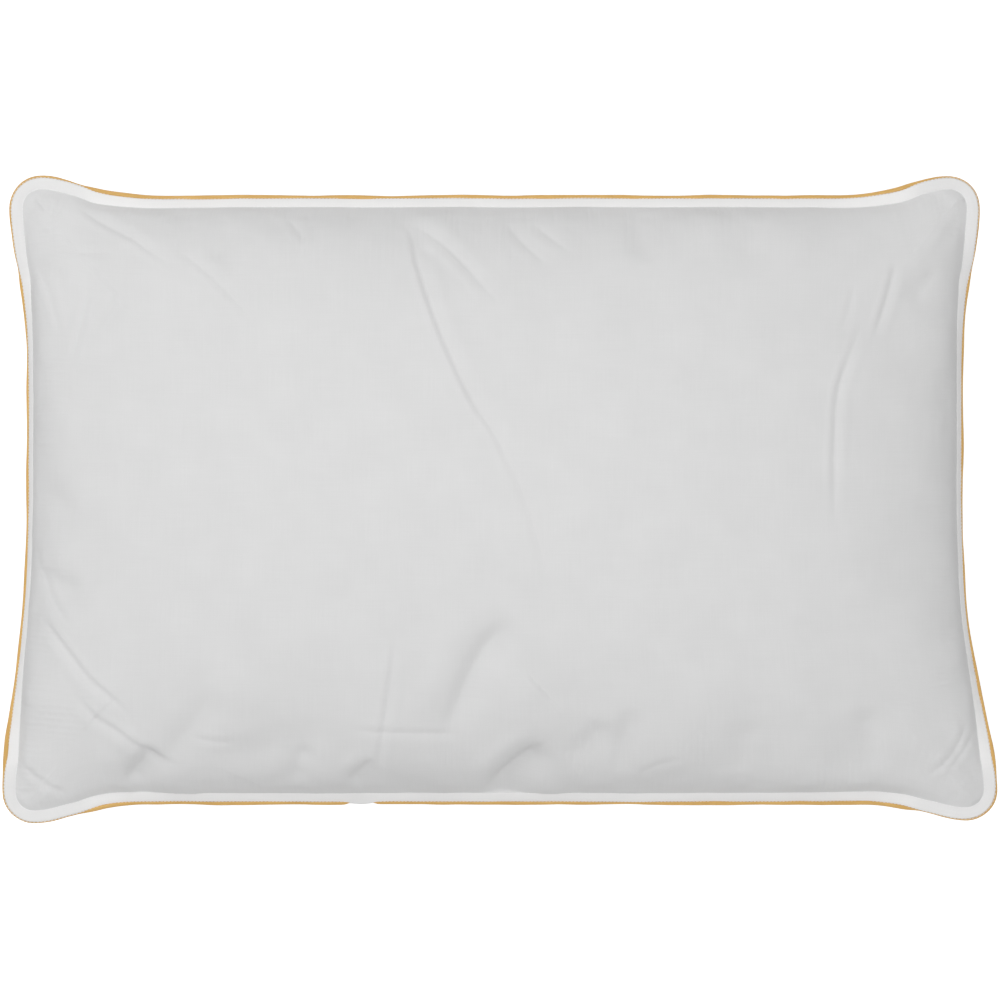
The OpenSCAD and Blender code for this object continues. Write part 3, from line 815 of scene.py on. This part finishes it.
middle = (crown_points[:, 2] + belly_points[:, 2]) / 2
half = (crown_points[:, 2] - belly_points[:, 2]) / 2
plumes = np.array([noise.noise(Vector((x * 38, y * 38, 6.0))) for x, y, _ in crown_points])
bm = bmesh.new()
for points, side in ((crown_points, 1), (belly_points, -1)):
    made = bmesh.ops.create_grid(bm, x_segments=COLUMNS, y_segments=ROWS, size=1.0)["verts"]
    sunk = half - FILL_DEPTH - FILL_LUMPS * side * plumes
    height = middle + side * np.maximum(sunk, 0.4 * half)
    for vert, point, z in zip(made, points, height):
        vert.co = (point[0] * FILL_SHARE[0], point[1] * FILL_SHARE[1], z)
bmesh.ops.bridge_loops(bm, edges=[e for e in bm.edges if e.is_boundary])
bmesh.ops.recalc_face_normals(bm, faces=bm.faces)
down = put("down_fill", finished_mesh(bm, "down_fill", smooth=True))
down.data.materials.append(down_finish)
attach(down, "root")
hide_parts("down_filling")

# ---- Care label ----
# A blank white satin tape, folded in two and caught in the join seam on the back of the lower edge.
label_finish, shader, add = finish("white_satin_tape", (0.86, 0.85, 0.82), 0.45)
place = add("ShaderNodeTexCoord").outputs["Object"]
ribs = add("ShaderNodeTexWave", {"Vector": place, "Scale": 500.0}, bands_direction="X")
bump = add("ShaderNodeBump", {"Height": ribs.outputs["Fac"], "Strength": 0.3, "Distance": 0.05 * MM})
link(shader, "Normal", bump.outputs[0])
LABEL_WIDTH, LABEL_DROP, LABEL_MIDDLE = 30 * MM, 24 * MM, 150 * MM
LABEL_OUT, LABEL_UP, LABEL_ON_FLANGE, LABEL_SHORT = 8 * MM, -1.9 * MM, 6.5 * MM, 1.4 * MM
below_seam = seam_frame(round_the_seam)[0]
lower_run = (below_seam[:, 1] < 0) & (np.abs(below_seam[:, 0] - LABEL_MIDDLE) < 60 * MM)
run_x, run_share = below_seam[lower_run, 0], round_the_seam[lower_run]
bm = bmesh.new()
bmesh.ops.create_grid(bm, x_segments=12, y_segments=28, size=1.0)
back_face = coordinates(back.data)[flange_weight < 0.01]
for vert in bm.verts:
    x = LABEL_MIDDLE + vert.co.x * LABEL_WIDTH / 2
    down_tape = (1 - vert.co.y) / 2 * (LABEL_DROP + 7 * MM)
    at = [np.interp(x, run_x, run_share)]
    if down_tape < LABEL_ON_FLANGE:
        vert.co = on_flange(at, LABEL_OUT - down_tape, LABEL_UP)[0]
    else:
        foot = on_flange(at, LABEL_SHORT, LABEL_UP)[0]
        y = foot[1] + (down_tape - LABEL_ON_FLANGE) * 0.55
        nearest = back_face[np.argmin(np.hypot(back_face[:, 0] - x, back_face[:, 1] - y))]
        vert.co = (x, y, min(foot[2], nearest[2] - LABEL_SHORT))
bmesh.ops.smooth_vert(bm, verts=bm.verts, factor=0.5, use_axis_z=True)
bmesh.ops.recalc_face_normals(bm, faces=bm.faces)
label = put("care_tape", finished_mesh(bm, "care_tape", smooth=True))
label.data.materials.append(label_finish)
tape = label.modifiers.new("folded", "SOLIDIFY")
tape.thickness, tape.offset = 0.5 * MM, 0.0
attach(label, "root")
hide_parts("care_label")

# ---- Stage ----
# A plain white table in soft light, mostly from above and a little from the upper left.
# The table glows a little, so that it stays white, but it doesn't light the pillow.
bm = bmesh.new()
bmesh.ops.create_grid(bm, x_segments=1, y_segments=1, size=12.0)
floor = put("table", finished_mesh(bm, "table"))
floor.location.z = -0.5 * MM
floor_finish, shader, add = finish("white_table", (0.9, 0.9, 0.9), 0.9)
shader.inputs["Emission Color"].default_value = (1, 1, 1, 1)
shader.inputs["Emission Strength"].default_value = 0.55
floor.data.materials.append(floor_finish)
floor.visible_diffuse = False


def softbox(name, place, aim, size, power):
    data = bpy.data.lights.new(name, "AREA")
    data.shape, data.size, data.energy = "SQUARE", size, power
    lamp = put(name, data)
    lamp.location = place
    lamp.rotation_euler = (Vector(aim) - Vector(place)).to_track_quat("-Z", "Y").to_euler()


softbox("key", (-1.5, 1.7, 2.6), (0, 0, 0), 1.6, 29)
softbox("overhead_fill", (0.12, -0.45, 3.37), (0, 0, 0), 1.6, 44)
# The studio's glow by height: brightest just above the horizon, dim overhead and below.
world = bpy.data.worlds.new("studio")
world.use_nodes = True
tree = world.node_tree
direction = tree.nodes.new("ShaderNodeTexCoord")
split = tree.nodes.new("ShaderNodeSeparateXYZ")
tree.links.new(direction.outputs["Generated"], split.inputs[0])
glow = tree.nodes.new("ShaderNodeFloatCurve")
tree.links.new(split.outputs["Z"], glow.inputs["Value"])
curve = glow.mapping
curve.use_clip = True
curve.clip_min_x, curve.clip_max_x, curve.clip_min_y, curve.clip_max_y = -1.0, 1.0, 0.0, 2.0
points = curve.curves[0].points
points[0].location, points[1].location = (-1.0, 0.3), (1.0, 0.38)
for place in ((-0.15, 0.40), (0.05, 0.85), (0.3, 0.70), (0.6, 0.40)):
    points.new(*place)
curve.update()
tree.links.new(glow.outputs[0], tree.nodes["Background"].inputs["Strength"])
tree.nodes["Background"].inputs["Color"].default_value = (1, 1, 1, 1)
scene.world = world
scene.view_settings.view_transform = "Standard"
